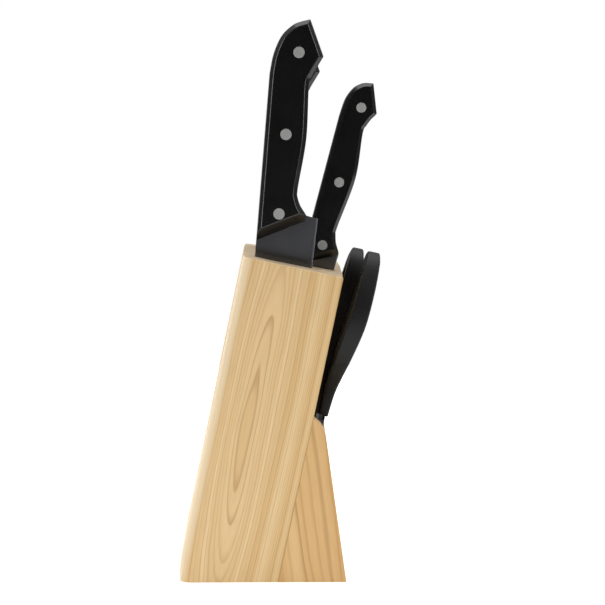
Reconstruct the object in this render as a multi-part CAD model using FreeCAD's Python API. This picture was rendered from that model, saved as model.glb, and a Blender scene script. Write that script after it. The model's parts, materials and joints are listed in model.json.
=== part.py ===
import FreeCAD, Part
import os
from math import atan2, cos, degrees, radians, sin, tan

# Knife block with three riveted knives and a pair of kitchen shears, in millimetres.
# Frame: origin at the middle of the underside, +X to the foot, -Y to the near side board, +Z up.
# Side outlines are drawn as (x, z) pairs. "across" is a distance in front of the block's back face.

Vector = FreeCAD.Vector

# ---- driving dimensions: the block -------------------------------------------------------------
lean = radians(11.85)         # the block and its slots lean towards the foot
block_height = 194.6          # underside to the highest corner, at the back
board_width = 60.0            # back face to front face, square to the lean
base_length = 99.5            # heel to toe on the table
heel_radius = 100.0           # the back face curves to upright at the table
back_edge_radius = 7.0        # round-over of the two upright back edges
soft_edge = 1.2               # rounding of the edges that a hand meets

side_board_near = 15.0
inner_board = 12.0
core_board = 18.25            # two of these
side_board_far = 17.5
slot_gap = 3.0                # thickness of the spacer strips, so width of every slot

large_slot_back = 6.5         # wood behind the two large slots
slot_play = 3.7               # large slots are this much wider than the cook's blade is high
utility_slot_front = 4.0      # wood in front of the small slot
utility_slot_width = 29.0
slot_floor = 8.0              # thickness of the wood that closes each slot below

# ---- driving dimensions: the foot --------------------------------------------------------------
nose_height = 87.0            # the toe face ends here and the rounded nose starts
nose_thickness = 9.85         # foot at that height, square to the block
nose_radius = 16.0
cheek = 10.0                  # side walls of the shears pocket
pocket_depth = 11.0           # block front face to the wedge behind the shears
pocket_floor = 10.0

# ---- driving dimensions: the knives ------------------------------------------------------------
large_askew = 23.917          # over a slot's length a large knife drifts this far to the slot's front
utility_lean = radians(14.8)
spine_play = 0.5              # slot's back wall to a large knife's spine
utility_spine_play = 7.6      # slot's back wall to the utility knife's spine, which leans back below
cook_proud = 9.7              # handle corner to the mouth of the slot, along the knife
home_proud = 0.5              # the same for a knife that is pushed home
cook_tip_gap = 0.6            # tip to slot floor: this blade nearly stands on it
carving_tip_gap = 6.0
utility_blade_length = 125.0  # heel to tip

cook_heel_height = 35.3
carving_heel_height = 27.6
utility_heel_height = 20.6
cook_steel = 2.0
carving_steel = 1.8
utility_steel = 1.6
heel_below_guard = 1.6        # the blade's heel corner, along the knife
spine_drop = 2.0              # the tip lies this far in front of the spine's line
edge_taper = 0.36             # share of the steel's thickness lost from spine to edge
tip_taper = 0.2               # and from heel to tip

large_scale = 7.5             # thickness of one handle scale
utility_scale = 6.7
scale_rounding = 2.2          # rounded rim of a scale
end_step = 1.0                # square step where a scale ends on the blade
large_end_bevel = 6.0         # length of the sloped front end of a scale
utility_end_bevel = 4.6
large_rivet_radius = 3.45
utility_rivet_radius = 3.1

# ---- driving dimensions: the shears ------------------------------------------------------------
shears_steel = 1.95
rubbing_gap = 0.1             # between the two blades, and under the screw's head
pivot_drop = 9.0              # pivot below the foot's nose, along the block
shears_plane = 5.3            # rubbing plane, out from the block's front face
shears_tip_gap = 3.0          # tips to pocket floor
shears_boss = 9.0             # pivot to where each tang begins
screw_radius = 2.5
screw_head_radius = 5.0
screw_head = 1.7
screw_slot = 1.2
screw_nut = 1.7
screw_nut_radius = 5.0
running_clearance = 0.05
fork_along = 20.0             # the two shanks part this far above the foot's nose
fork_half = 0.7               # half the gap between the closed bows
tang_short = 1.0              # the steel in each shank ends this far below the fork
tang_width = 6.7              # width of that steel, measured from the centre line
tang_past = 0.3               # it runs this far past the centre line
far_bow_length_share = 0.94   # the thumb's bow is the smaller one
far_bow_width_share = 0.95
bow_stock = (-5.0, 30.0)      # the bows are cut from stock between these, out from the block's face
bow_stock_reach = 43.0        # and this far to each side

same_place = 0.01             # two points this near are one, when edges are picked

# ---- derived places ----------------------------------------------------------------------------
block_depth = side_board_near + inner_board + 2 * core_board + side_board_far + 3 * slot_gap
near_face = -block_depth / 2
heel_x = -base_length / 2
toe_x = base_length / 2
back_x = heel_x + heel_radius * (1 - 1 / cos(lean))     # the straight back face, run down to the table
large_slot_width = cook_heel_height + slot_play
cook_lean = lean - atan2(large_askew, (block_height - slot_floor) / cos(lean))    # both large knives
nose_x = back_x + (board_width + nose_thickness) / cos(lean) + nose_height * tan(lean)
toe_rake = atan2(toe_x - nose_x, nose_height)           # the toe face leans back


def on_block(across, height):
    """The point at a height that lies a distance in front of the back face."""
    return (back_x + across / cos(lean) + height * tan(lean), height)


def on_top(across):
    """The point on the sloping top face a distance in front of the back face."""
    x, z = on_block(0, block_height)
    return (x + across * cos(lean), z - across * sin(lean))


def line(a, b):
    return Part.LineSegment(Vector(a[0], 0, a[1]), Vector(b[0], 0, b[1])).toShape()


def arc(a, middle, b):
    return Part.Arc(Vector(a[0], 0, a[1]), Vector(middle[0], 0, middle[1]), Vector(b[0], 0, b[1])).toShape()


def curve(points):
    """A smooth curve through a few points."""
    spline = Part.BSplineCurve()
    spline.interpolate([Vector(x, 0, z) for x, z in points])
    return spline.toShape()


def slab(edges, y_low, y_high):
    """The solid between two upright planes whose side outline is the closed chain of edges."""
    face = Part.Face(Part.Wire(edges))
    solid = face.extrude(Vector(0, y_high - y_low, 0))
    solid.translate(Vector(0, y_low, 0))
    return solid


def polygon(points):
    return [line(a, b) for a, b in zip(points, points[1:] + points[:1])]


def peg(x, z, radius, y_low, y_high):
    """A cylinder across the object."""
    return Part.makeCylinder(radius, y_high - y_low, Vector(x, y_low, z), Vector(0, 1, 0))


def export(name, shape):
    shape.exportStep("parts/" + name + ".step")


os.makedirs("parts", exist_ok=True)

# ---- the block: boards and spacer strips, glued in a stack -------------------------------------


def board_outline(across_back, across_front):
    """Side outline of a board or strip that runs the block's whole height."""
    top_back = on_top(across_back)
    foot_front = on_block(across_front, 0)
    rest = [line(top_back, on_top(across_front)), line(on_top(across_front), foot_front)]
    if across_back > 0:
        foot_back = on_block(across_back, 0)
        return [line(foot_back, top_back)] + rest + [line(foot_front, foot_back)]
    heel = (heel_x, 0)
    half = lean / 2
    middle = (heel_x + heel_radius * (1 - cos(half)), heel_radius * sin(half))
    start = (heel_x + heel_radius * (1 - cos(lean)), heel_radius * sin(lean))
    return [arc(heel, middle, start), line(start, top_back)] + rest + [line(foot_front, heel)]


def edges_where(shape, test):
    return [edge for edge in shape.Edges if all(test(v.Point) for v in edge.Vertexes)]


def is_at_back(point):
    straight = on_block(0, point.z)[0]
    return point.x < straight + heel_radius * (1 / cos(lean) - 1) + same_place


def above_top(point):
    """Height of a point over the sloping top face, square to it."""
    x, z = on_top(0)
    return (point.x - x) * sin(lean) + (point.z - z) * cos(lean)


def side_board(y_low, y_high, outer_y):
    """An outer board: big round-over at its back edge, softened edges at the top and the front."""
    board = slab(board_outline(0, board_width), y_low, y_high)
    back = edges_where(board, lambda p: abs(p.y - outer_y) < same_place and is_at_back(p))
    board = board.makeFillet(back_edge_radius, back)
    inner_y = y_low + y_high - outer_y
    top = edges_where(board, lambda p: abs(above_top(p)) < same_place)
    outer_top = [edge for edge in top if abs(edge.CenterOfMass.y - inner_y) > same_place]
    return board.makeFillet(soft_edge, outer_top)


def inner_layer(across_back, across_front, y_low, y_high):
    """A board or strip inside the stack."""
    return slab(board_outline(across_back, across_front), y_low, y_high)


def floor_strip(across_back, across_front, y_low, y_high):
    """The strip that closes a slot at the bottom."""
    corners = [on_block(across_back, 0), on_block(across_back, slot_floor),
               on_block(across_front, slot_floor), on_block(across_front, 0)]
    return slab(polygon(corners), y_low, y_high)


def slot_layer(name, across_back, across_front, y_low):
    """One layer with a slot: a strip behind it, a strip in front of it and a strip below it."""
    y_high = y_low + slot_gap
    export(name + "_slot_back_strip", inner_layer(0, across_back, y_low, y_high))
    export(name + "_slot_front_strip", inner_layer(across_front, board_width, y_low, y_high))
    export(name + "_slot_floor_strip", floor_strip(across_back, across_front, y_low, y_high))
    return y_low + slot_gap / 2


large_slot = (large_slot_back, large_slot_back + large_slot_width)
utility_slot = (board_width - utility_slot_front - utility_slot_width, board_width - utility_slot_front)

y = near_face
export("side_board_near", side_board(y, y + side_board_near, y))
y += side_board_near
cook_y = slot_layer("cook", *large_slot, y)
y += slot_gap
export("inner_board", inner_layer(0, board_width, y, y + inner_board))
y += inner_board
utility_y = slot_layer("utility", *utility_slot, y)
y += slot_gap
export("core_board_near", inner_layer(0, board_width, y, y + core_board))
y += core_board
export("core_board_far", inner_layer(0, board_width, y, y + core_board))
y += core_board
carving_y = slot_layer("carving", *large_slot, y)
y += slot_gap
export("side_board_far", side_board(y, y + side_board_far, y + side_board_far))

# ---- the foot: a wedge, a pocket floor and two cheeks glued to the front -----------------------


def toe_line(height):
    """The foot's front face at a height."""
    return (toe_x - height * tan(toe_rake), height)


def nose():
    """Where the rounded nose leaves the toe face, a point on it, and where it meets the block."""
    start = toe_line(nose_height)
    centre = (start[0] - nose_radius * cos(toe_rake), start[1] - nose_radius * sin(toe_rake))
    angle = toe_rake
    step = radians(0.1)
    point = start
    while point[0] > on_block(board_width, point[1])[0]:
        angle += step
        point = (centre[0] + nose_radius * cos(angle), centre[1] + nose_radius * sin(angle))
    half = (angle + toe_rake) / 2
    middle = (centre[0] + nose_radius * cos(half), centre[1] + nose_radius * sin(half))
    return start, middle, on_block(board_width, point[1])


nose_start, nose_middle, nose_top = nose()
block_foot = on_block(board_width, 0)
toe = (toe_x, 0)


def cheek_piece(y_low, outer_y):
    edges = [line(block_foot, nose_top), arc(nose_top, nose_middle, nose_start),
             line(nose_start, toe), line(toe, block_foot)]
    piece = slab(edges, y_low, y_low + cheek)
    outer = [edge for edge in piece.Edges if abs(edge.CenterOfMass.y - outer_y) < same_place
             and edge.CenterOfMass.z > same_place and edge.CenterOfMass.x > nose_top[0]]
    return piece.makeFillet(soft_edge, outer)


def wedge_piece():
    """The wedge behind the pocket, up to where it runs out to nothing at the toe face."""
    low_back = on_block(board_width + pocket_depth, 0)
    closing = (toe_x - low_back[0]) / (tan(toe_rake) + tan(lean))
    blunt = closing - soft_edge / sin(lean + toe_rake)
    corners = [low_back, on_block(board_width + pocket_depth, blunt), toe_line(blunt), toe]
    return slab(polygon(corners), near_face + cheek, -near_face - cheek)


def pocket_floor_piece():
    corners = [block_foot, on_block(board_width, pocket_floor),
               on_block(board_width + pocket_depth, pocket_floor), on_block(board_width + pocket_depth, 0)]
    return slab(polygon(corners), near_face + cheek, -near_face - cheek)


export("foot_cheek_near", cheek_piece(near_face, near_face))
export("foot_cheek_far", cheek_piece(-near_face - cheek, -near_face))
export("foot_wedge", wedge_piece())
export("foot_pocket_floor", pocket_floor_piece())

# ---- the knives --------------------------------------------------------------------------------
# Drawn upright as (distance in front of the spine, distance above the handle's lower spine corner).
# crown: spine to pommel tip. belly: beak, hook, palm swell and finger guard.

large_handle = {
    "crown": [(0, 98), (1.4, 109.5), (5.2, 120.2), (11.5, 127.2), (21.2, 131.2)],
    "belly": [(30.6, 110.4), (26.8, 102.5), (23.4, 93), (24.5, 62), (21.9, 33), (23.4, 23.8), (28.3, 16.8)],
    "end": (27.8, 13.4),
    "rivets": [(16.1, 111.6), (12.4, 63.7), (12.1, 17.1)],
    "rivet_radius": large_rivet_radius,
    "scale": large_scale,
    "end_bevel": large_end_bevel,
}
utility_handle = {
    "crown": [(0, 90), (0.9, 101), (3.9, 108.3), (7.6, 111.9), (14.4, 114)],
    "belly": [(20.9, 97.2), (17.4, 91.2), (15.9, 83.5), (18.6, 57), (15.6, 27), (16.6, 18.5), (20.4, 11.8)],
    "end": (20.2, 9.8),
    "rivets": [(11, 98.5), (9.7, 52.6), (9.7, 14)],
    "rivet_radius": utility_rivet_radius,
    "scale": utility_scale,
    "end_bevel": utility_end_bevel,
}
# The cutting edge as shares of (blade length, heel height), from the heel to near the tip.
edge_shape = [(0, 1), (0.3, 0.92), (0.6, 0.7), (0.85, 0.38)]
spine_straight_share = 0.7    # the spine is straight for this much of the blade
spine_bend_share = 0.27       # half-way along the rest it has dropped this much of the whole drop


def crown_edges(handle):
    """Handle outline from the top of the straight spine to the guard."""
    crown, belly = handle["crown"], handle["belly"]
    return [curve(crown), line(crown[-1], belly[0]), curve(belly)]


def scale_piece(handle, steel):
    """One handle scale on the far side of the blade, with its rivet holes and sloped front end."""
    corner = (0, 0)
    end = handle["end"]
    edges = [line(corner, handle["crown"][0])] + crown_edges(handle)
    edges += [line(handle["belly"][-1], end), line(end, corner)]
    inner = steel / 2
    outer = inner + handle["scale"]
    piece = slab(edges, inner, outer)
    rim = [edge for edge in piece.Edges if abs(edge.CenterOfMass.y - outer) < same_place
           and edge.CenterOfMass.z > end[1]]
    piece = piece.makeFillet(scale_rounding, rim)
    slope = Vector(-end[1], 0, end[0]).normalize()
    along = Vector(end[0], 0, end[1])
    low = Vector(0, inner + end_step, 0) - along
    rise = (Vector(0, handle["scale"] - end_step, 0) + slope * handle["end_bevel"]) * 1.3
    above = Vector(0, 2 * handle["scale"], 0)
    corners = [low - slope, low, low + rise, low + rise + above, low - slope + above]
    wedge = Part.Face(Part.makePolygon(corners + corners[:1])).extrude(along * 3)
    piece = piece.cut(wedge)
    for x, z in handle["rivets"]:
        piece = piece.cut(peg(x, z, handle["rivet_radius"], inner, outer))
    return piece


def blade_piece(handle, steel, heel_height, length):
    """Blade and full tang in one plate, tapered in thickness towards the tip and the edge."""
    guard = handle["belly"][-1]
    heel = (heel_height, guard[1] - heel_below_guard)
    edge_points = [(heel_height * h, heel[1] - length * s) for s, h in edge_shape]
    tip = (spine_drop, heel[1] - length)
    spine_end = (0, heel[1] - length * spine_straight_share)
    spine_bend = (spine_drop * spine_bend_share, (spine_end[1] + tip[1]) / 2)
    edges = [line(spine_end, handle["crown"][0])] + crown_edges(handle)
    edges += [line(guard, heel), curve(edge_points + [tip]), arc(tip, spine_bend, spine_end)]
    sheet = slab(edges, -steel / 2, steel / 2)
    for x, z in handle["rivets"]:
        sheet = sheet.cut(peg(x, z, handle["rivet_radius"], -steel, steel))
    taper = Vector(edge_taper * steel / heel_height, 0, tip_taper * steel / length)
    ground_from = -1.0
    ground_to = -(length + heel_height)
    for side in (-1, 1):
        corners = []
        for x, z, fall in ((-heel_height, ground_from, 0), (2 * heel_height, ground_from, 0),
                           (2 * heel_height, ground_to, ground_to), (-heel_height, ground_to, ground_to)):
            corners.append(Vector(x, side * (steel / 2 - x * taper.x + fall * taper.z), z))
        face = Part.Face(Part.makePolygon(corners + corners[:1]))
        sheet = sheet.cut(face.extrude(Vector(0, side * 2 * steel, 0)))
    return sheet


def place_knife(shape, origin, y_middle, knife_lean):
    moved = shape.copy()
    moved.rotate(Vector(0, 0, 0), Vector(0, 1, 0), degrees(knife_lean))
    moved.translate(Vector(origin[0], y_middle, origin[1]))
    return moved


def knife(name, handle, steel, heel_height, length, mouth, proud, y_middle, knife_lean):
    origin = (mouth[0] + proud * sin(knife_lean), mouth[1] + proud * cos(knife_lean))
    far = scale_piece(handle, steel)
    near = far.mirror(Vector(0, 0, 0), Vector(0, 1, 0))
    half = steel / 2 + handle["scale"]
    rivets = Part.makeCompound([peg(x, z, handle["rivet_radius"], -half, half) for x, z in handle["rivets"]])
    pieces = {"blade": blade_piece(handle, steel, heel_height, length),
              "scale_near": near, "scale_far": far, "rivets": rivets}
    for piece_name, shape in pieces.items():
        export(name + "_" + piece_name, place_knife(shape, origin, y_middle, knife_lean))


def length_to_floor(handle, mouth, proud, knife_lean, gap):
    """Heel to tip, for a blade whose tip ends a gap above the slot's floor."""
    heel_above_mouth = proud + handle["belly"][-1][1] - heel_below_guard
    return heel_above_mouth + (mouth[1] - slot_floor - gap) / cos(knife_lean)


large_mouth = on_top(large_slot[0] + spine_play)
utility_mouth = on_top(utility_slot[0] + utility_spine_play)
cook_length = length_to_floor(large_handle, large_mouth, cook_proud, cook_lean, cook_tip_gap)
carving_length = length_to_floor(large_handle, large_mouth, home_proud, cook_lean, carving_tip_gap)

knife("cook", large_handle, cook_steel, cook_heel_height, cook_length,
      large_mouth, cook_proud, cook_y, cook_lean)
knife("carving", large_handle, carving_steel, carving_heel_height, carving_length,
      large_mouth, home_proud, carving_y, cook_lean)
knife("utility", utility_handle, utility_steel, utility_heel_height, utility_blade_length,
      utility_mouth, home_proud, utility_y, utility_lean)

# ---- the shears --------------------------------------------------------------------------------
# Drawn closed as (out, sideways, along): out from the block's front face, along = up that face from
# the nose of the foot. One half has its blade outside and its bow on the near side, the other half
# has its blade inside and its bow on the far side.

pivot_along = -pivot_drop
tip_along = -(nose_top[1] - pocket_floor - shears_tip_gap) / cos(lean)


def shears_place(shape):
    """Turn a piece drawn as (out, sideways, along) to lie along the block's front face."""
    moved = shape.copy()
    moved.rotate(Vector(0, 0, 0), Vector(0, 1, 0), degrees(lean))
    moved.translate(Vector(nose_top[0], 0, nose_top[1]))
    return moved


def flat_line(a, b):
    return Part.LineSegment(Vector(0, a[0], a[1]), Vector(0, b[0], b[1])).toShape()


def flat_curve(points, closed=False):
    spline = Part.BSplineCurve()
    places = [Vector(0, sideways, along) for sideways, along in points]
    spline.interpolate(Points=places, PeriodicFlag=closed)
    return spline.toShape()


def plate(edges, out_low, out_high):
    """A plate of the shears, drawn by its outline seen from the front."""
    solid = Part.Face(Part.Wire(edges)).extrude(Vector(out_high - out_low, 0, 0))
    solid.translate(Vector(out_low, 0, 0))
    return solid


def bolt(radius, out_low, out_high):
    """A cylinder on the pivot's axis."""
    return Part.makeCylinder(radius, out_high - out_low, Vector(out_low, 0, pivot_along), Vector(1, 0, 0))


def shears_blade(side, out_low):
    """One blade with its tang. side is +1 where the blade's back faces the far side."""
    reach = pivot_along - tip_along
    back = [(0, tip_along), (5.2, tip_along + 0.33 * reach), (8.8, tip_along + 0.66 * reach),
            (9.2, pivot_along), (4, pivot_along + shears_boss)]
    front = [(-6, pivot_along + shears_boss), (-8.4, pivot_along), (-4, pivot_along - 0.17 * reach),
             (-2.4, tip_along + 0.57 * reach), (-1.4, tip_along + 0.25 * reach), (0, tip_along)]
    tang_top = fork_along - tang_short
    tang = [(tang_past, tang_top), (-tang_width, tang_top)]
    edges = [flat_curve([(side * s, a) for s, a in back]),
             flat_line((side * back[-1][0], back[-1][1]), (side * tang[0][0], tang[0][1])),
             flat_line((side * tang[0][0], tang[0][1]), (side * tang[1][0], tang[1][1])),
             flat_line((side * tang[1][0], tang[1][1]), (side * front[0][0], front[0][1])),
             flat_curve([(side * s, a) for s, a in front])]
    steel = plate(edges, out_low, out_low + shears_steel)
    return steel.cut(bolt(screw_radius + running_clearance, out_low - 1, out_low + shears_steel + 1))


# Bow outlines for the larger, near bow: (distance from the centre line, along), from the shank's
# outer lower corner round the loop to its inner lower corner, and the finger hole.
bow_rim = [(7.5, -2), (10.5, 10), (19, 22), (31, 36), (38, 56), (37, 78), (29, 97), (18, 104),
           (7, 98), (1.6, 82), (0.7, 60), (0.7, 36), (0.4, 20), (-3, 9), (-6.5, -2)]
finger_hole = [(14.5, 40), (22, 42), (28.5, 52), (30.5, 66), (27.5, 83), (19.5, 94.5), (11.2, 88),
               (8.4, 70), (9.6, 50)]
# Side outlines (out, along) of the two bows: the face away from the block, then the face towards it.
outer_bow_front = [(9.4, -2), (10.2, 12), (12.1, 24), (14.6, 37), (17.4, 50), (19.3, 62), (20.4, 80),
                   (20.5, 94), (20.1, 105)]
outer_bow_back = [(13, 105), (12.8, 97), (12.2, 86), (11, 71), (9.4, 58), (7.4, 40), (5.4, 20)]
inner_bow_front = [(5.2, 20), (7.4, 35), (11, 54), (12.3, 72), (12.4, 88), (12.2, 105)]
inner_bow_back = [(6.6, 105), (5.7, 93), (4.6, 79), (3.2, 60), (1.6, 32), (1.2, -2)]


def bow_points(points, side, length_share, width_share):
    """Scale a loop above the fork, and put it on its side of the centre line."""
    scaled = []
    for sideways, along in points:
        if along > fork_along:
            along = fork_along + (along - fork_along) * length_share
            sideways = fork_half + (sideways - fork_half) * width_share
        scaled.append((side * sideways, along))
    return scaled


def bow(side, profile, length_share, width_share):
    """One moulded handle: the flat outline cut to the cranked side outline, with its finger hole."""
    rim = bow_points(bow_rim, side, length_share, width_share)
    hole = bow_points(finger_hole, side, length_share, width_share)
    outline = plate([flat_curve(rim), flat_line(rim[-1], rim[0])], *bow_stock)
    hole_cutter = plate([flat_curve(hole, closed=True)], *bow_stock)
    return slab(profile, -bow_stock_reach, bow_stock_reach).common(outline).cut(hole_cutter)


outer_profile = [curve(outer_bow_front), line(outer_bow_front[-1], outer_bow_back[0]), curve(outer_bow_back),
                 line(outer_bow_back[-1], (outer_bow_back[-1][0], -2)),
                 line((outer_bow_back[-1][0], -2), outer_bow_front[0])]
inner_profile = [curve(inner_bow_front), line(inner_bow_front[-1], inner_bow_back[0]), curve(inner_bow_back),
                 line(inner_bow_back[-1], (inner_bow_front[0][0], -2)),
                 line((inner_bow_front[0][0], -2), inner_bow_front[0])]

outer_blade = shears_blade(1, shears_plane + rubbing_gap / 2)
inner_blade = shears_blade(-1, shears_plane - rubbing_gap / 2 - shears_steel)
near_bow = bow(-1, outer_profile, 1, 1)
far_bow = bow(1, inner_profile, far_bow_length_share, far_bow_width_share)
head_out = shears_plane + rubbing_gap / 2 + shears_steel + rubbing_gap
nut_out = shears_plane - rubbing_gap / 2 - shears_steel - rubbing_gap - screw_nut
slot_corner = Vector(head_out + screw_head / 2, -screw_head_radius, pivot_along - screw_slot / 2)
slot_cutter = Part.makeBox(screw_head, 2 * screw_head_radius, screw_slot, slot_corner)
screw = bolt(screw_radius, nut_out, head_out).fuse(bolt(screw_head_radius, head_out, head_out + screw_head))
hexagon = [(screw_nut_radius * cos(radians(60 * k)), pivot_along + screw_nut_radius * sin(radians(60 * k)))
           for k in range(6)]
nut_edges = [flat_line(a, b) for a, b in zip(hexagon, hexagon[1:] + hexagon[:1])]
nut = plate(nut_edges, nut_out, nut_out + screw_nut).cut(bolt(screw_radius, nut_out, nut_out + screw_nut))

export("shears_outer_blade", shears_place(outer_blade))
export("shears_inner_blade", shears_place(inner_blade))
export("shears_near_bow", shears_place(near_bow.cut(outer_blade)))
export("shears_far_bow", shears_place(far_bow.cut(inner_blade)))
export("shears_pivot_screw", shears_place(screw.cut(slot_cutter)))
export("shears_pivot_nut", shears_place(nut))
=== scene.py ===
import json
from math import atan2, cos, pi, radians, sin, tan

import bmesh
import bpy
from mathutils import Matrix, Vector
from mathutils.geometry import interpolate_bezier


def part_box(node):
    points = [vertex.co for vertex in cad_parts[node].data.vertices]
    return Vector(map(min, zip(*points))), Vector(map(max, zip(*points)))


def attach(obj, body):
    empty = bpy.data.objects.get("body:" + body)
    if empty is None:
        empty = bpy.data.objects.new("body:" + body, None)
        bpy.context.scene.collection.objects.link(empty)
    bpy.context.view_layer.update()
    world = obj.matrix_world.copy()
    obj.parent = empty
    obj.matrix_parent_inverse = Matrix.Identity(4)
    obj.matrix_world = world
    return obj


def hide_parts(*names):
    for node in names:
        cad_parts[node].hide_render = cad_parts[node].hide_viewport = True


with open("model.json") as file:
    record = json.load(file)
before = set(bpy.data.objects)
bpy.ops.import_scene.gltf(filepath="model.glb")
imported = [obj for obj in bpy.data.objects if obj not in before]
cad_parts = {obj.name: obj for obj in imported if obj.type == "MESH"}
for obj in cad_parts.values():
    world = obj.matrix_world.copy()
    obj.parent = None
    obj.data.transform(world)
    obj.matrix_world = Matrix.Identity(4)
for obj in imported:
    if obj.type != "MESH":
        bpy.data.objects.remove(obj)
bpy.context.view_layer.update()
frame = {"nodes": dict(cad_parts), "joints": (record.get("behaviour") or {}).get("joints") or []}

joints = {joint["name"]: joint for joint in frame["joints"]}

# ---- the block ---------------------------------------------------------------------------------
# Boards and slot spacers of plantation pine, glued face to face in one stack that leans towards the
# foot. Planed, sanded and left under a thin matt clear finish. The two outer boards carry a big
# round-over at the back, and their top edges are softened.

mm = 0.001
heel_radius = 100 * mm
back_edge_radius = 7 * mm
back_edge_segments = 10
soft_edge = 1.2 * mm
soft_edge_segments = 4
board_arris = 0.25 * mm
strip_arris = 0.15 * mm
arris_angle = radians(28)
# painted sheen: the side boards are painted paler within about this distance of the back face, standing in
# for light glancing off the rounded back edge
painted_sheen_band = 5 * mm
back_zone = 3 * mm            # the curved foot of the back face stays this close to its plane
hair = 0.01 * mm              # two points this close lie in one plane


def slide_lean(joint):
    """How far a slide's direction leans towards the foot."""
    axis = joints[joint]["axis"]
    return atan2(axis[0], axis[2])


def leaned_box(node, lean):
    """Lowest and highest corner of a CAD node, measured square to its own lean."""
    upright = Matrix.Rotation(-lean, 3, "Y")
    points = [upright @ vertex.co for vertex in frame["nodes"][node].data.vertices]
    low = Vector([min(p[k] for p in points) for k in range(3)])
    high = Vector([max(p[k] for p in points) for k in range(3)])
    return low, high


block_lean = slide_lean("shears_slide")
stack_low, stack_high = leaned_box("inner_board", block_lean)
near_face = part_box("side_board_near")[0].y
heel_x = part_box("inner_board")[0].x
block_width = stack_high.x - stack_low.x


def on_block(across, height):
    """Side-view point at a height, so far in front of the back face."""
    return (stack_low.x + across) / cos(block_lean) + height * tan(block_lean), height


def on_top(across):
    """Side-view point on the sloping top, so far in front of the back face."""
    point = Matrix.Rotation(block_lean, 3, "Y") @ Vector((stack_low.x + across, 0, stack_high.z))
    return point.x, point.z


def sawn(outline, y_low, y_high):
    """A piece of wood: its side outline, cut through the thickness."""
    bm = bmesh.new()
    face = bm.faces.new([bm.verts.new((x, y_low, z)) for x, z in outline])
    grown = bmesh.ops.extrude_face_region(bm, geom=[face])["geom"]
    bmesh.ops.translate(bm, verts=[g for g in grown if isinstance(g, bmesh.types.BMVert)],
                        vec=(0, y_high - y_low, 0))
    return bm


def round_edges(bm, test, radius, segments):
    """Rounds the edges whose two ends both pass the test."""
    edges = [edge for edge in bm.edges if all(test(vert.co) for vert in edge.verts)]
    bmesh.ops.bevel(bm, geom=edges, offset=radius, offset_type="OFFSET", segments=segments,
                    profile=0.5, affect="EDGES", clamp_overlap=True, material=-1)


def finish(bm, name, material, body, nodes, arris):
    """Makes the piece, breaks its sharp arrises if it has any, and fixes it to its body in place of its
    CAD nodes."""
    bmesh.ops.recalc_face_normals(bm, faces=bm.faces)
    if bm.calc_volume(signed=True) < 0:
        bmesh.ops.reverse_faces(bm, faces=bm.faces)
    for face in bm.faces:
        face.smooth = True
    mesh = bpy.data.meshes.new(name)
    bm.to_mesh(mesh)
    bm.free()
    mesh.materials.append(material)
    piece = bpy.data.objects.new(name, mesh)
    bpy.context.scene.collection.objects.link(piece)
    if arris:
        rounding = piece.modifiers.new("arris", "BEVEL")
        rounding.width = arris
        rounding.segments = 3
        rounding.limit_method = "ANGLE"
        rounding.angle_limit = arris_angle
        piece.modifiers.new("flat_faces", "WEIGHTED_NORMAL").keep_sharp = True
    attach(piece, body)
    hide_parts(*nodes)
    return piece


def colour(code):
    """Linear colour of a six-figure sRGB hex code."""
    parts = [int(code[k:k + 2], 16) / 255 for k in (0, 2, 4)]
    return [p / 12.92 if p <= 0.04045 else ((p + 0.055) / 1.055) ** 2.4 for p in parts] + [1.0]


def material_tree(name):
    """A new material, its node tree and its surface shader."""
    material = bpy.data.materials.new(name)
    material.use_nodes = True
    tree = material.node_tree
    return material, tree, tree.nodes["Principled BSDF"]


def add(tree, kind, inputs, **settings):
    """Adds a node with its settings. Each input is given a value, or another node's output to link."""
    node = tree.nodes.new(kind)
    for name, value in settings.items():
        setattr(node, name, value)
    for name, value in inputs.items():
        if isinstance(value, bpy.types.NodeSocket):
            tree.links.new(value, node.inputs[name])
        else:
            node.inputs[name].default_value = value
    return node


ring_wander = 5 * mm
wander_scale = (38, 38, 9)    # per metre: slow across the grain, slower along it
fibre_scale = (2500, 2500, 65)
grain_relief = 0.05 * mm
sheen_fade_start = 1.5 * mm          # the painted sheen's pale tone fades in from here, in front of its limit and is full here, behind it
sheen_fade_full = 2.5 * mm           # and is full here, behind it


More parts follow.
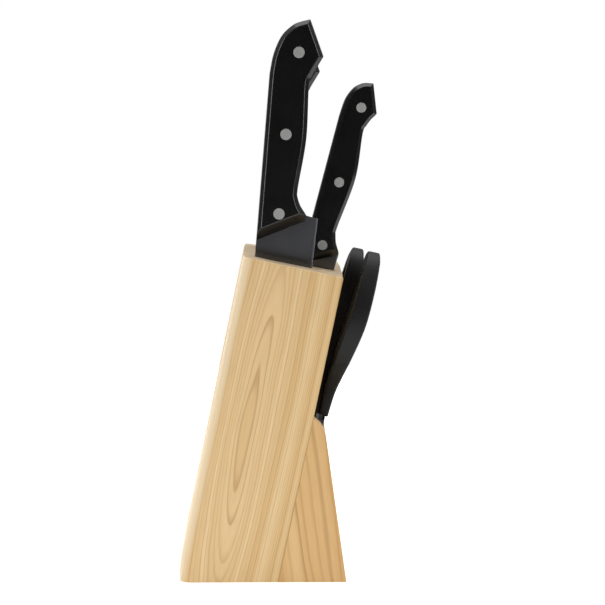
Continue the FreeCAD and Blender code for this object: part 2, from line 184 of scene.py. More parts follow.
def pine(name, heart, lean, spacing, stretch, light, honey, late, seed, sheen_limit=None):
    """Pine cut from a log, sanded and sealed with matt varnish: a soft sheen over a fine lengthwise grain.
    Growth rings are long shells round the heart, a point in the tree, drawn out along the grain. A face
    near the heart shows cathedral arches, and a face far off straight lines.
    heart: that point. spacing: ring to ring. stretch: how blunt the shells are. late: dark ring edge.
    bark: how far behind the heart the painted sheen starts, if the piece has any. It is a pale tone along
    the back that stands in for light glancing off the rounded back edge."""
    material, tree, shader = material_tree(name)
    place = add(tree, "ShaderNodeTexCoord", {})
    upright = Matrix.Rotation(-lean, 3, "Y")
    local = add(tree, "ShaderNodeMapping", {"Vector": place.outputs["Object"], "Location": upright @ -heart,
                                            "Rotation": (0, -lean, 0)})
    wander_place = add(tree, "ShaderNodeMapping", {"Vector": local.outputs[0], "Location": (seed, seed, 0),
                                                   "Scale": wander_scale})
    wander = add(tree, "ShaderNodeTexNoise", {"Vector": wander_place.outputs[0], "Scale": 1.0,
                                              "Detail": 2.0})
    warped = add(tree, "ShaderNodeVectorMath", {0: wander.outputs["Color"],
                                                1: (ring_wander, ring_wander, 0),
                                                2: local.outputs[0]}, operation="MULTIPLY_ADD")
    shells = add(tree, "ShaderNodeVectorMath", {0: warped.outputs[0], 1: (1, 1, stretch)},
                 operation="MULTIPLY")
    radius = add(tree, "ShaderNodeVectorMath", {0: shells.outputs[0]}, operation="LENGTH")
    rings = add(tree, "ShaderNodeMath", {0: radius.outputs["Value"], 1: 1 / spacing, 2: seed},
                operation="MULTIPLY_ADD")
    # No two years are alike, so the ring count itself is uneven.
    years = add(tree, "ShaderNodeTexNoise", {"W": rings.outputs[0], "Scale": 0.37, "Detail": 1.0},
                noise_dimensions="1D")
    uneven = add(tree, "ShaderNodeMath", {0: years.outputs["Fac"], 1: 1.5, 2: rings.outputs[0]},
                 operation="MULTIPLY_ADD")
    season = add(tree, "ShaderNodeMath", {0: uneven.outputs[0]}, operation="FRACT")
    summer = add(tree, "ShaderNodeMapRange", {"Value": season.outputs[0], "From Min": 0.5, "From Max": 0.92},
                 interpolation_type="SMOOTHSTEP")
    winter = add(tree, "ShaderNodeMapRange", {"Value": season.outputs[0], "From Min": 1.0, "From Max": 0.92})
    edge = add(tree, "ShaderNodeMath", {0: summer.outputs[0], 1: winter.outputs[0]}, operation="MULTIPLY")
    strength = add(tree, "ShaderNodeTexNoise", {"W": rings.outputs[0], "Scale": 0.9, "Detail": 0.0},
                   noise_dimensions="1D")
    strong = add(tree, "ShaderNodeMapRange", {"Value": strength.outputs["Fac"], "From Min": 0.3,
                                              "From Max": 0.7, "To Min": 0.1, "To Max": 0.62})
    dark = add(tree, "ShaderNodeMath", {0: edge.outputs[0], 1: strong.outputs[0]}, operation="MULTIPLY")
    # Broad warmer bands where several years grew alike.
    tint = add(tree, "ShaderNodeTexNoise", {"W": rings.outputs[0], "Scale": 0.28, "Detail": 1.0},
               noise_dimensions="1D")
    tinted = add(tree, "ShaderNodeMapRange", {"Value": tint.outputs["Fac"], "From Min": 0.35,
                                              "From Max": 0.65})
    ground = add(tree, "ShaderNodeMixRGB", {"Fac": tinted.outputs[0], "Color1": colour(light),
                                            "Color2": colour(honey)})
    ringed = add(tree, "ShaderNodeMixRGB", {"Fac": dark.outputs[0], "Color1": ground.outputs[0],
                                            "Color2": colour(late)})
    # Fibre bundles 0.4 mm across and some 15 mm long.
    fibre_place = add(tree, "ShaderNodeMapping", {"Vector": local.outputs[0], "Scale": fibre_scale})
    fibres = add(tree, "ShaderNodeTexNoise", {"Vector": fibre_place.outputs[0], "Scale": 1.0,
                                              "Detail": 2.0})
    streaks = add(tree, "ShaderNodeMapRange", {"Value": fibres.outputs["Fac"], "From Min": 0.3,
                                               "From Max": 0.7, "To Min": 0.93, "To Max": 1.05})
    streaked = add(tree, "ShaderNodeMixRGB", {"Fac": 1.0, "Color1": ringed.outputs[0],
                                              "Color2": streaks.outputs[0]}, blend_type="MULTIPLY")
    # End grain drinks the finish and looks duller and greyer.
    grain = Vector((sin(lean), 0, cos(lean)))
    facing = add(tree, "ShaderNodeVectorMath", {0: place.outputs["Normal"], 1: grain},
                 operation="DOT_PRODUCT")
    across = add(tree, "ShaderNodeMath", {0: facing.outputs["Value"]}, operation="ABSOLUTE")
    end = add(tree, "ShaderNodeMapRange", {"Value": across.outputs[0], "From Min": 0.6, "From Max": 0.97})
    end_grain = add(tree, "ShaderNodeMixRGB", {"Fac": 0.65, "Color1": streaked.outputs[0],
                                               "Color2": colour(pine_end)})
    wood = streaked
    # Painted sheen: towards the back face the wood is mixed towards a pale tone, standing in for light that
    # glances off the rounded back edge.
    if sheen_limit is not None:
        depth = add(tree, "ShaderNodeSeparateXYZ", {0: local.outputs[0]})
        sheen_mix = add(tree, "ShaderNodeMapRange", {"Value": depth.outputs["X"], "From Min": -sheen_limit + sheen_fade_start,
                                               "From Max": -sheen_limit - sheen_fade_full, "To Max": 0.75})
        wood = add(tree, "ShaderNodeMixRGB", {"Fac": sheen_mix.outputs[0], "Color1": streaked.outputs[0],
                                              "Color2": colour(painted_sheen_tone)})
    surface = add(tree, "ShaderNodeMixRGB", {"Fac": end.outputs[0], "Color1": wood.outputs[0],
                                             "Color2": end_grain.outputs[0]})
    relief = add(tree, "ShaderNodeMath", {0: dark.outputs[0], 1: 0.6, 2: fibres.outputs["Fac"]},
                 operation="MULTIPLY_ADD")
    bump = add(tree, "ShaderNodeBump", {"Strength": 0.25, "Distance": grain_relief,
                                        "Height": relief.outputs[0]})
    gloss = add(tree, "ShaderNodeMapRange", {"Value": fibres.outputs["Fac"], "To Min": 0.48,
                                             "To Max": 0.62})
    tree.links.new(surface.outputs[0], shader.inputs["Base Color"])
    tree.links.new(gloss.outputs[0], shader.inputs["Roughness"])
    tree.links.new(bump.outputs[0], shader.inputs["Normal"])
    shader.inputs["IOR"].default_value = 1.5
    return material


def in_board(across, behind, height, node):
    """A point in the stack: across the block, behind a node's near face, at a height."""
    x, z = on_block(across, height)
    return Vector((x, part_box(node)[0].y + behind, z))


# For each board: the heart's place (across, behind the near face, height), ring spacing, bluntness
# and a seed. The two side boards are cut close to the heart, the others further out.
board_logs = {
    "side_board_near": (26 * mm, 10 * mm, 103 * mm, 1.5 * mm, 0.093, 2.0),
    "inner_board": (-25 * mm, 30 * mm, 80 * mm, 2.2 * mm, 0.05, 3.1),
    "core_board_near": (30 * mm, -32 * mm, 150 * mm, 2.6 * mm, 0.06, 5.7),
    "core_board_far": (75 * mm, 40 * mm, 60 * mm, 2.0 * mm, 0.05, 8.3),
    "side_board_far": (34 * mm, 2 * mm, 60 * mm, 1.9 * mm, 0.08, 11.9),
}
pine_light = "C4A97D"
pine_honey = "B59461"
pine_late = "936E3C"
# painted sheen: the pale tone of light glancing off the side boards' rounded back edge
painted_sheen_tone = "C8B89B"
pine_end = "B5A68E"
spacer_light = "C4A97C"
spacer_honey = "B69563"
spacer_late = "906C3C"
spacer_rings = 1.8 * mm


def board_outline(across_back, across_front):
    """Side outline of a board as high as the block. The back face curves to upright at the table."""
    points = [on_block(across_front, 0), on_top(across_front), on_top(across_back)]
    if across_back > 0:
        return points + [on_block(across_back, 0)]
    centre = (heel_x + heel_radius, 0)
    steps = 10
    turns = [block_lean * (1 - k / steps) for k in range(steps + 1)]
    return points + [(centre[0] - heel_radius * cos(t), heel_radius * sin(t)) for t in turns]


def in_stack(co):
    """The point measured square to the block's lean."""
    return Matrix.Rotation(-block_lean, 3, "Y") @ co


for node, (across, behind, height, spacing, stretch, seed) in board_logs.items():
    low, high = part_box(node)
    board = sawn(board_outline(0, block_width), low.y, high.y)
    if node.startswith("side_board"):
        outer = low.y if node.endswith("near") else high.y
        round_edges(board, lambda co: abs(co.y - outer) < hair and in_stack(co).x < stack_low.x + back_zone,
                    back_edge_radius, back_edge_segments)
        inner = low.y + high.y - outer
        top = [edge for edge in board.edges
               if all(abs(in_stack(vert.co).z - stack_high.z) < hair for vert in edge.verts)
               and any(abs(vert.co.y - inner) > hair for vert in edge.verts)]
        bmesh.ops.bevel(board, geom=top, offset=soft_edge, segments=soft_edge_segments, profile=0.5,
                        affect="EDGES", clamp_overlap=True, material=-1)
    # only the side boards get the painted sheen along their rounded back edge
    sheen_limit = across - painted_sheen_band if node.startswith("side_board") else None
    wood = pine("sanded_pine_" + node, in_board(across, behind, height, node), block_lean, spacing, stretch,
                pine_light, pine_honey, pine_late, seed, sheen_limit)
    finish(board, node + "_wood", wood, "block", [node], board_arris)

strip_pine = pine("sanded_pine_spacers", in_board(-40 * mm, 60 * mm, 90 * mm, "inner_board"), block_lean,
                  spacer_rings, stretch=0.03, light=spacer_light, honey=spacer_honey, late=spacer_late,
                  seed=17.0)
for slot_name in ("cook", "utility", "carving"):
    for place in ("back", "front", "floor"):
        node = slot_name + "_slot_" + place + "_strip"
        low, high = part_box(node)
        leaned_low, leaned_high = leaned_box(node, block_lean)
        if place == "floor":
            across_high = leaned_high.x - stack_low.x
            across_low = leaned_low.x - stack_low.x
            outline = [on_block(across_low, 0), on_block(across_high, 0), on_block(across_high, high.z),
                       on_block(across_low, high.z)]
        elif place == "back":
            outline = board_outline(0, leaned_high.x - stack_low.x)
        else:
            outline = board_outline(leaned_low.x - stack_low.x, block_width)
        finish(sawn(outline, low.y, high.y), node + "_wood", strip_pine, "block", [node],
               strip_arris)

# ---- the foot ----------------------------------------------------------------------------------
# Two cheeks, a wedge and a pocket floor of the same pine from a warmer log, glued to the front of the
# stack. The cheeks end in a rounded nose, and their grain runs parallel to the toe face.

nose_radius = 16 * mm
cheek_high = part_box("foot_cheek_near")[1]
toe_x = cheek_high.x
nose_height = 87 * mm
nose_thickness = 9.85 * mm
nose_x = on_block(block_width + nose_thickness, nose_height)[0]
toe_rake = atan2(toe_x - nose_x, nose_height)
nose_centre = (nose_x - nose_radius * cos(toe_rake), nose_height - nose_radius * sin(toe_rake))
nose_turn = toe_rake          # the nose rounds over until it reaches the cheek's full height
turn_step = radians(0.5)
while nose_centre[1] + nose_radius * sin(nose_turn) < cheek_high.z:
    nose_turn += turn_step


def toe_line(height):
    """Side-view point on the toe face."""
    return toe_x - height * tan(toe_rake), height


nose_steps = 12
nose_turns = [toe_rake + (nose_turn - toe_rake) * k / nose_steps for k in range(nose_steps)]
cheek_outline = [on_block(block_width, 0), toe_line(0)]
cheek_outline += [(nose_centre[0] + nose_radius * cos(t), nose_centre[1] + nose_radius * sin(t))
                  for t in nose_turns]
cheek_outline += [on_block(block_width, cheek_high.z)]

cheek_hearts = {
    "foot_cheek_near": Vector((-8 * mm, near_face - 24 * mm, 30 * mm)),
    "foot_cheek_far": Vector((110 * mm, -near_face + 20 * mm, 60 * mm)),
}
foot_light = "BE9D6B"
foot_honey = "B28B55"
foot_late = "8E6836"
cheek_rings = 4.5 * mm
wedge_rings = 3.2 * mm
clear_of_glue = 0.5 * mm      # a cheek's edges this far off the block are free to be softened

for node, heart in cheek_hearts.items():
    low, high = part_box(node)
    cheek = sawn(cheek_outline, low.y, high.y)
    outer = low.y if node.endswith("near") else high.y
    round_edges(cheek, lambda co: (abs(co.y - outer) < hair and co.z > hair
                                   and in_stack(co).x > stack_high.x + clear_of_glue),
                soft_edge, soft_edge_segments)
    wood = pine("sanded_pine_" + node, heart, -toe_rake, cheek_rings, stretch=0.03, light=foot_light,
                honey=foot_honey, late=foot_late, seed=21.0)
    finish(cheek, node + "_wood", wood, "block", [node], board_arris)

wedge_low, wedge_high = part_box("foot_wedge")
pocket_back = leaned_box("foot_wedge", block_lean)[0].x - stack_low.x
wedge_outline = [on_block(pocket_back, 0), toe_line(0), toe_line(wedge_high.z),
                 on_block(pocket_back, wedge_high.z)]
wedge_wood = pine("sanded_pine_foot_wedge", Vector((20 * mm, 70 * mm, 10 * mm)), -toe_rake, wedge_rings,
                  stretch=0.05, light=foot_light, honey=foot_honey, late=foot_late, seed=27.0)
finish(sawn(wedge_outline, wedge_low.y, wedge_high.y), "foot_wedge_wood", wedge_wood, "block",
       ["foot_wedge"], board_arris)
floor_low, floor_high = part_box("foot_pocket_floor")
floor_outline = [on_block(block_width, 0), on_block(pocket_back, 0), on_block(pocket_back, floor_high.z),
                 on_block(block_width, floor_high.z)]
finish(sawn(floor_outline, floor_low.y, floor_high.y), "foot_pocket_floor_wood", wedge_wood, "block",
       ["foot_pocket_floor"], board_arris)

# ---- the knives --------------------------------------------------------------------------------
# Stamped stainless blades with a full tang, ground thinner towards the edge. Two moulded black
# scales are held on each tang by three aluminium rivets, whose sanded heads stand a touch proud. The
# scales have a flat face, a chamfered rim and a sloped front end.

# All sizes in a knife's own drawing are in mm: in front of the spine, and along the handle.
large_handle = {
    "crown": [(0, 98), (1.4, 109.5), (5.2, 120.2), (11.5, 127.2), (16.6, 129.7)],
    "tip": (21.2, 131.2),
    "beak": (30.6, 110.4),
    "belly": [(27.7, 104.6), (25.2, 99.3), (23.5, 92.5), (24.5, 62), (21.9, 33), (22.5, 26.5), (24.6, 21.6)],
    "guard": (28.3, 16.8),
    "end": (27.8, 13.4),
    "chamfer": 2.4,
    "rivets": [(16.1, 111.6), (12.4, 63.7), (12.1, 17.1)],
    "rivet_radius": 3.3,
    "end_bevel": 6.0,
}
utility_handle = {
    "crown": [(0, 90), (0.9, 101), (3.9, 108.3), (7.6, 111.9), (10.6, 113.3)],
    "tip": (14.4, 114),
    "beak": (20.9, 97.2),
    "belly": [(18.4, 93.1), (16.8, 89), (15.9, 83.5), (18.6, 57), (15.6, 27), (15.9, 21.5), (17.3, 17)],
    "guard": (20.4, 11.8),
    "end": (20.2, 9.8),
    "chamfer": 1.9,
    "rivets": [(11, 98.5), (9.7, 52.6), (9.7, 14)],
    "rivet_radius": 2.95,
    "end_bevel": 4.6,
}
end_step = 1.0                # the square lip left on a scale's end, before it slopes back
rivet_proud = 0.12
heel_below_guard = 1.6
heel_overlap = 0.3            # the blade starts this far inside its tang
spine_drop = 2.0              # how far the spine has curved towards the edge at the tip
spine_power = 6               # how late it starts to curve
tip_thinning = 0.2            # the share of the steel's thickness lost from heel to tip
# Along the edge, from heel to tip: the share of the length, and the share of the heel's height left.
edge_shape = [(0, 1), (0.3, 0.92), (0.6, 0.7), (0.82, 0.4), (0.95, 0.13), (1, 0.015)]
edge_steps = 6
# Across the blade, from the spine to the edge and back: shares of its height and of its thickness.
blade_section = [(0, 0.5), (0.955, 0.34), (1, 0.06), (1, -0.06), (0.955, -0.34), (0, -0.5)]
blade_arris = 0.12 * mm
scale_arris = 0.6 * mm
rivet_arris = 0.18 * mm
steel_tone = "6C6D70"
ground_scale = (2600, 2600, 24)   # per metre: the lines left by grinding, along the blade
skin_relief = 0.01 * mm
speckle_relief = 0.03 * mm


def smooth_line(points, steps=8):
    """Points along a smooth curve through a few points."""
    ends = [points[0]] + list(points) + [points[-1]]
    line = [points[0]]
    for before, start, stop, after in zip(ends, ends[1:], ends[2:], ends[3:]):
        start, stop = Vector(start).to_3d(), Vector(stop).to_3d()
        pull = (stop - Vector(before).to_3d()) / 6
        push = (Vector(after).to_3d() - start) / 6
        curve = interpolate_bezier(start, start + pull, stop - push, stop, steps + 1)
        line += [(p.x, p.y) for p in curve[1:]]
    return line


def drawn(outline, y_low, y_high):
    """A plate in a knife's own drawing, in mm: distance in front of the spine, and along the handle."""
    return sawn([(x * mm, z * mm) for x, z in outline], y_low * mm, y_high * mm)


def grip_outline(handle):
    """The grip from the foot of its crown, over the pommel and along the fingers to the guard."""
    pommel = [handle["tip"], handle["beak"]]
    return smooth_line(handle["crown"]) + pommel + smooth_line(handle["belly"]) + [handle["guard"]]


def scale_shape(handle, inner, outer):
    """One handle scale on the far side of the tang: a plate, its rim chamfered, its end cut to a slope."""
    end = handle["end"]
    bm = drawn([(0, 0)] + grip_outline(handle) + [end], inner, outer)
    rim = [edge for edge in bm.edges
           if all(abs(vert.co.y - outer * mm) < hair for vert in edge.verts)
           and max(vert.co.z for vert in edge.verts) > end[1] * mm + hair]
    bmesh.ops.bevel(bm, geom=rim, offset=handle["chamfer"] * mm, segments=1, profile=0.5, affect="EDGES",
                    clamp_overlap=False, material=-1)
    slope = Vector((-end[1], 0, end[0])).normalized()
    rise = Vector((0, outer - inner - end_step, 0)) + slope * handle["end_bevel"]
    plane = rise.cross(Vector((end[0], 0, end[1]))).normalized()
    if plane.y < 0:
        plane = -plane
    cut = bmesh.ops.bisect_plane(bm, geom=bm.verts[:] + bm.edges[:] + bm.faces[:],
                                 plane_co=(0, (inner + end_step) * mm, 0), plane_no=plane, clear_outer=True)
    edges = [g for g in cut["geom_cut"] if isinstance(g, bmesh.types.BMEdge)]
    bmesh.ops.contextual_create(bm, geom=edges)
    return bm


def blade_shape(handle, steel, heel_height, length):
    """Full tang and blade. The blade is drawn out from its heel section, step by step, to the tip."""
    heel = handle["guard"][1] - heel_below_guard
    bm = drawn([(0, heel)] + grip_outline(handle) + [(heel_height, heel)], -steel / 2, steel / 2)
    corners = [bm.verts.new((x * heel_height * mm, y * steel * mm, (heel + heel_overlap) * mm))
               for x, y in blade_section]
    face = bm.faces.new(corners)
    first = face
    for share, height in smooth_line(edge_shape, edge_steps):
        spine = spine_drop * share ** spine_power
        thin = 1 - tip_thinning * share
        grown = bmesh.ops.extrude_face_region(bm, geom=[face])["geom"]
        if face != first:
            bmesh.ops.delete(bm, geom=[face], context="FACES_ONLY")
        face = next(g for g in grown if isinstance(g, bmesh.types.BMFace))
        for vert, (x, y) in zip(face.verts, blade_section):
            vert.co = Vector(((spine + x * heel_height * height) * mm, y * steel * thin * mm,
                              (heel - length * share) * mm))
    return bm


def satin_steel(name, tone, rough, lean):
    """Stamped stainless, belt-ground along the blade: soft mirror, drawn out by fine lengthwise lines."""
    material, tree, shader = material_tree(name)
    place = add(tree, "ShaderNodeTexCoord", {})
    lines_place = add(tree, "ShaderNodeMapping", {"Vector": place.outputs["Object"],
                                                  "Rotation": (0, -lean, 0), "Scale": ground_scale})
    lines = add(tree, "ShaderNodeTexNoise", {"Vector": lines_place.outputs[0], "Scale": 1.0,
                                             "Detail": 3.0})
    cloud = add(tree, "ShaderNodeTexNoise", {"Vector": place.outputs["Object"], "Scale": 90.0,
                                             "Detail": 3.0})
    both = add(tree, "ShaderNodeMath", {0: lines.outputs["Fac"], 1: cloud.outputs["Fac"]},
               operation="MULTIPLY")
    spread = add(tree, "ShaderNodeMapRange", {"Value": both.outputs[0], "From Min": 0.1, "From Max": 0.45,
                                              "To Min": rough - 0.02, "To Max": rough + 0.03})
    bump = add(tree, "ShaderNodeBump", {"Strength": 0.06, "Distance": skin_relief,
                                        "Height": lines.outputs["Fac"]})
    tree.links.new(spread.outputs[0], shader.inputs["Roughness"])
    tree.links.new(bump.outputs[0], shader.inputs["Normal"])
    shader.inputs["Base Color"].default_value = colour(tone)
    shader.inputs["Metallic"].default_value = 1.0
    return material


def moulded_black(name, tone, rough, grain, ior):
    """Moulded engineering plastic, dyed through: near black, with the fine dull texture of its mould,
    a little polished by hands."""
    material, tree, shader = material_tree(name)
    place = add(tree, "ShaderNodeTexCoord", {})
    skin = add(tree, "ShaderNodeTexNoise", {"Vector": place.outputs["Object"], "Scale": 1 / grain,
                                            "Detail": 2.0})
    rubbed = add(tree, "ShaderNodeTexNoise", {"Vector": place.outputs["Object"], "Scale": 60.0,
                                              "Detail": 4.0})
    spread = add(tree, "ShaderNodeMapRange", {"Value": rubbed.outputs["Fac"], "From Min": 0.3,
                                              "From Max": 0.7, "To Min": rough - 0.02,
                                              "To Max": rough + 0.04})
    bump = add(tree, "ShaderNodeBump", {"Strength": 0.1, "Distance": skin_relief,
                                        "Height": skin.outputs["Fac"]})
    tree.links.new(spread.outputs[0], shader.inputs["Roughness"])
    tree.links.new(bump.outputs[0], shader.inputs["Normal"])
    shader.inputs["Base Color"].default_value = colour(tone)
    shader.inputs["IOR"].default_value = ior
    return material


def sanded_aluminium(name):
    """Soft aluminium rivet, sanded after riveting: pale, blunt and faintly speckled."""
    material, tree, shader = material_tree(name)
    place = add(tree, "ShaderNodeTexCoord", {})
    speckle = add(tree, "ShaderNodeTexNoise", {"Vector": place.outputs["Object"], "Scale": 1400.0,
                                               "Detail": 3.0})
    tone = add(tree, "ShaderNodeMixRGB", {"Fac": speckle.outputs["Fac"], "Color1": colour("7C7C7A"),
                                          "Color2": colour("A8A8A6")})
    bump = add(tree, "ShaderNodeBump", {"Strength": 0.3, "Distance": speckle_relief,
                                        "Height": speckle.outputs["Fac"]})
    tree.links.new(tone.outputs[0], shader.inputs["Base Color"])
    tree.links.new(bump.outputs[0], shader.inputs["Normal"])
    shader.inputs["Metallic"].default_value = 0.8
    shader.inputs["Roughness"].default_value = 0.6
    return material


handle_black = moulded_black("moulded_black_handle", tone="0D0D0D", rough=0.2, grain=0.35 * mm, ior=1.48)
rivet_aluminium = sanded_aluminium("sanded_aluminium")
knives = (("cook", large_handle, "cook_knife_slide"), ("carving", large_handle, "carving_knife_slide"),
          ("utility", utility_handle, "utility_knife_slide"))

for name, handle, slide in knives:
    knife_lean = slide_lean(slide)
    body = name + "_knife"
    low, high = leaned_box(name + "_scale_far", knife_lean)
    blade_low, blade_high = leaned_box(name + "_blade", knife_lean)
    middle = (blade_low.y + blade_high.y) / 2
    steel = (blade_high.y - blade_low.y) / mm
    placed = Matrix.Rotation(knife_lean, 4, "Y") @ Matrix.Translation((low.x, middle, low.z))
    heel_height = (blade_high.x - low.x) / mm
    heel = handle["guard"][1] - heel_below_guard
    length = heel - (blade_low.z - low.z) / mm
    half = (high.y - middle) / mm

    blade = blade_shape(handle, steel, heel_height, length)
    bmesh.ops.transform(blade, matrix=placed, verts=blade.verts)
    blade_steel = satin_steel("ground_steel_" + name, steel_tone, rough=0.3, lean=knife_lean)
    finish(blade, name + "_blade_steel", blade_steel, body, [name + "_blade"], blade_arris)

    for side, mirrored in (("far", 1), ("near", -1)):
        scale = scale_shape(handle, steel / 2, half)
        bmesh.ops.scale(scale, vec=(1, mirrored, 1), verts=scale.verts)
        bmesh.ops.transform(scale, matrix=placed, verts=scale.verts)
        node = name + "_scale_" + side
        finish(scale, node + "_moulding", handle_black, body, [node], scale_arris)

    rivets = bmesh.new()
    for x, z in handle["rivets"]:
        across_grip = Matrix.Translation((x * mm, 0, z * mm)) @ Matrix.Rotation(pi / 2, 4, "X")
        bmesh.ops.create_cone(rivets, cap_ends=True, segments=40, radius1=handle["rivet_radius"] * mm,
                              radius2=handle["rivet_radius"] * mm, depth=2 * (half + rivet_proud) * mm,
                              matrix=across_grip)
    bmesh.ops.transform(rivets, matrix=placed, verts=rivets.verts)
    finish(rivets, name + "_rivet_heads", rivet_aluminium, body, [name + "_rivets"],
           rivet_arris)

# ---- the shears --------------------------------------------------------------------------------
# Two stamped halves on a screw and nut, each with a bow moulded round its tang in the same black.
# The bows are cranked outwards so that fingers clear the block.

# All sizes in the shears' own drawing are in mm: out from the block, to the side, and along the bows.
shears_black = moulded_black("moulded_black_bow", tone="0A0A0A", rough=0.45, grain=0.5 * mm, ior=1.33)
pivot = Vector(joints["outer_half_hinge"]["pos_m"])
pivot_out = 5.3
pivot_along = -9.0
fork_along = 20.0             # the two bows part above here
fork_half = 0.7
bow_thickness = 8.0
curve_steps = 6
slice_gap = 3
slice_count = 36
skin_voxel = 0.55 * mm
bow_rim = [(7.5, -3.7), (10.5, 10), (19, 22), (31, 36), (38, 56), (37, 78), (29, 97), (18, 104),
           (7, 98), (1.6, 82), (0.7, 60), (0.7, 36), (0.5, 25), (-0.5, 19.5), (-3.8, 9), (-6.5, -3.7)]
finger_hole = [(14.5, 40), (22, 42), (28.5, 52), (30.5, 66), (27.5, 83), (19.5, 94.5), (11.2, 88),
               (8.4, 70), (9.6, 50)]
# For each bow: its side, its length and width as shares of the drawing, its body, and its front and
# back face as points out from the block and along the bow.
bows = (
    ("shears_near_bow", -1, 0.97, 1.0, "shears_outer_half",
     [(10.6, -2), (11.6, 12), (13.4, 24), (15.6, 37), (18, 50), (19.7, 62), (20.6, 80), (20.7, 92),
      (20.5, 98), (19.4, 103)],
     [(5.0, -2), (5.0, 20), (6.2, 40), (8.2, 58), (10, 71), (11.2, 86), (11.6, 93), (12, 98), (13, 103)]),
    ("shears_far_bow", 1, 0.94, 0.95, "shears_inner_half",
     [(5.6, -2), (5.6, 20), (8.4, 35), (11.6, 54), (12.9, 72), (13.2, 86), (13, 93), (12, 99)],
     [(0.8, -2), (0.9, 32), (1.8, 60), (2.8, 79), (3.5, 88), (4.1, 93), (5.4, 99)]),
)
shears_placed = (Matrix.Translation(pivot) @ Matrix.Rotation(block_lean, 4, "Y")
                 @ Matrix.Translation((-pivot_out * mm, 0, -pivot_along * mm)))


def out_at(profile, along):
    """How far out from the block a bow's face lies at a place along it."""
    for (out_a, along_a), (out_b, along_b) in zip(profile, profile[1:]):
        if along <= along_b:
            return out_a + (out_b - out_a) * (along - along_a) / (along_b - along_a)
    return profile[-1][0]


def bow_outline(points, side, length_share, width_share):
    """A loop scaled above the fork and put on its side of the centre line."""
    scaled = []
    for sideways, along in points:
        if along > fork_along:
            along = fork_along + (along - fork_along) * length_share
            sideways = fork_half + (sideways - fork_half) * width_share
        scaled.append((side * sideways, along))
    return scaled


for node, side, length_share, width_share, body, front, back in bows:
    bow = bmesh.new()
    rim = bow_outline(smooth_line(bow_rim, curve_steps), side, length_share, width_share)
    # The hole's curve is run past both ends, and the surplus is cut off, so that it closes smoothly.
    closed = smooth_line(finger_hole[-2:] + finger_hole + finger_hole[:2], curve_steps)
    closed = closed[2 * curve_steps:-curve_steps - 1]
    hole = bow_outline(closed, side, length_share, width_share)
    for loop in (rim, hole):
        verts = [bow.verts.new((0, sideways * mm, along * mm)) for sideways, along in loop]
        for a, b in zip(verts, verts[1:] + verts[:1]):
            bow.edges.new((a, b))
    bmesh.ops.triangle_fill(bow, use_beauty=True, use_dissolve=False, edges=bow.edges[:])
    grown = bmesh.ops.extrude_face_region(bow, geom=bow.faces[:])["geom"]
    bmesh.ops.translate(bow, verts=[g for g in grown if isinstance(g, bmesh.types.BMVert)],
                        vec=(bow_thickness * mm, 0, 0))
    for step in range(slice_count):
        bmesh.ops.bisect_plane(bow, geom=bow.verts[:] + bow.edges[:] + bow.faces[:],
                               plane_co=(0, 0, step * slice_gap * mm), plane_no=(0, 0, 1))
    profile_front = smooth_line(front, curve_steps)
    profile_back = smooth_line(back, curve_steps)
    for vert in bow.verts:
        along = vert.co.z / mm
        share = vert.co.x / mm / bow_thickness
        low, high = out_at(profile_back, along), out_at(profile_front, along)
        vert.co.x = (low + share * (high - low)) * mm
    bmesh.ops.transform(bow, matrix=shears_placed, verts=bow.verts)
    moulding = finish(bow, node + "_moulding", shears_black, body, [node], 0)
    skin = moulding.modifiers.new("even_skin", "REMESH")
    skin.mode = "VOXEL"
    skin.voxel_size = skin_voxel
    skin.use_smooth_shade = True
    soft = moulding.modifiers.new("soft_skin", "SMOOTH")
    soft.factor = 0.5
    soft.iterations = 10

shears_steel = satin_steel("stamped_steel_shears", steel_tone, rough=0.28, lean=block_lean)
for node in ("shears_outer_blade", "shears_inner_blade", "shears_pivot_screw", "shears_pivot_nut"):
    frame["nodes"][node].data.materials.clear()
    frame["nodes"][node].data.materials.append(shears_steel)

# ---- the studio --------------------------------------------------------------------------------
# A round white table, tall soft lights to the front left and right and to both sides behind, a large
# one above, and a pale room that is darker behind the camera.

table_radius = 0.8
table_bm = bmesh.new()
bmesh.ops.create_circle(table_bm, cap_ends=True, segments=96, radius=table_radius)
table_mesh = bpy.data.meshes.new("table")
table_bm.to_mesh(table_mesh)
table_bm.free()
table = bpy.data.objects.new("table", table_mesh)
bpy.context.scene.collection.objects.link(table)
# A light table: part of its white is its own glow, so it stays white to its rim.
table_glass, _, table_shader = material_tree("opal_white_table")
table_shader.inputs["Base Color"].default_value = colour("D8D8D8")
table_shader.inputs["Roughness"].default_value = 0.9
table_shader.inputs["Specular IOR Level"].default_value = 0.0
table_shader.inputs["Emission Color"].default_value = (1, 1, 1, 1)
table_shader.inputs["Emission Strength"].default_value = 0.62
table_mesh.materials.append(table_glass)


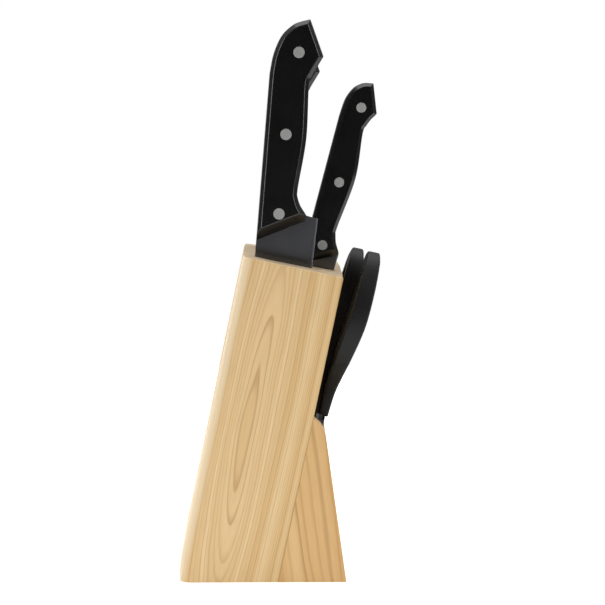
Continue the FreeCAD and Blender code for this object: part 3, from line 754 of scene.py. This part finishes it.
def softbox(name, place, aim, width, height, power):
    """A soft rectangular light that looks at a point."""
    light = bpy.data.lights.new(name, "AREA")
    light.shape = "RECTANGLE"
    light.size = width
    light.size_y = height
    light.energy = power
    lamp = bpy.data.objects.new(name, light)
    lamp.location = place
    lamp.rotation_euler = (Vector(aim) - Vector(place)).to_track_quat("-Z", "Y").to_euler()
    bpy.context.scene.collection.objects.link(lamp)


object_middle = (0, 0, 0.16)
softbox("left_softbox", (-1.2, -0.85, 0.5), object_middle, 0.35, 1.1, 12)
softbox("right_softbox", (1.2, -0.95, 0.5), object_middle, 0.35, 1.1, 9)
softbox("back_left_softbox", (-1.0, 0.8, 0.5), object_middle, 0.4, 1.1, 7)
softbox("back_right_softbox", (1.1, 0.9, 0.5), object_middle, 0.4, 1.1, 7)
softbox("top_softbox", (0.0, 0.1, 1.5), object_middle, 1.4, 1.4, 14)

world = bpy.data.worlds.new("studio")
bpy.context.scene.world = world
world.use_nodes = True
room = world.node_tree
background = room.nodes["Background"]
direction = add(room, "ShaderNodeTexCoord", {})
axes = add(room, "ShaderNodeSeparateXYZ", {0: direction.outputs["Generated"]})
dome = add(room, "ShaderNodeMapRange", {"Value": axes.outputs["Z"], "From Min": 0.0, "From Max": 0.9,
                                        "To Min": 0.16, "To Max": 0.9})
dark_side = add(room, "ShaderNodeMapRange", {"Value": axes.outputs["Y"], "From Min": -0.95, "From Max": -0.5,
                                             "To Min": 0.1, "To Max": 1.0})
dimmed = add(room, "ShaderNodeMath", {0: dome.outputs[0], 1: dark_side.outputs[0]}, operation="MULTIPLY")
# The camera sees the room as plain white. Only its light and its reflections are shaded.
rays = add(room, "ShaderNodeLightPath", {})
seen = add(room, "ShaderNodeMath", {0: dimmed.outputs[0], 1: rays.outputs["Is Camera Ray"]},
           operation="MAXIMUM")
room.links.new(seen.outputs[0], background.inputs["Strength"])
background.inputs["Color"].default_value = (1, 1, 1, 1)

camera = bpy.data.objects.new("camera", bpy.data.cameras.new("camera"))
camera.data.lens = 120.02
camera.data.sensor_width = 36
camera.location = (0.00492, -1.215, 0.31123)
camera.rotation_euler = (radians(83.004), 0, radians(-0.916))
bpy.context.scene.collection.objects.link(camera)
bpy.context.scene.camera = camera
bpy.context.scene.view_settings.view_transform = "Standard"
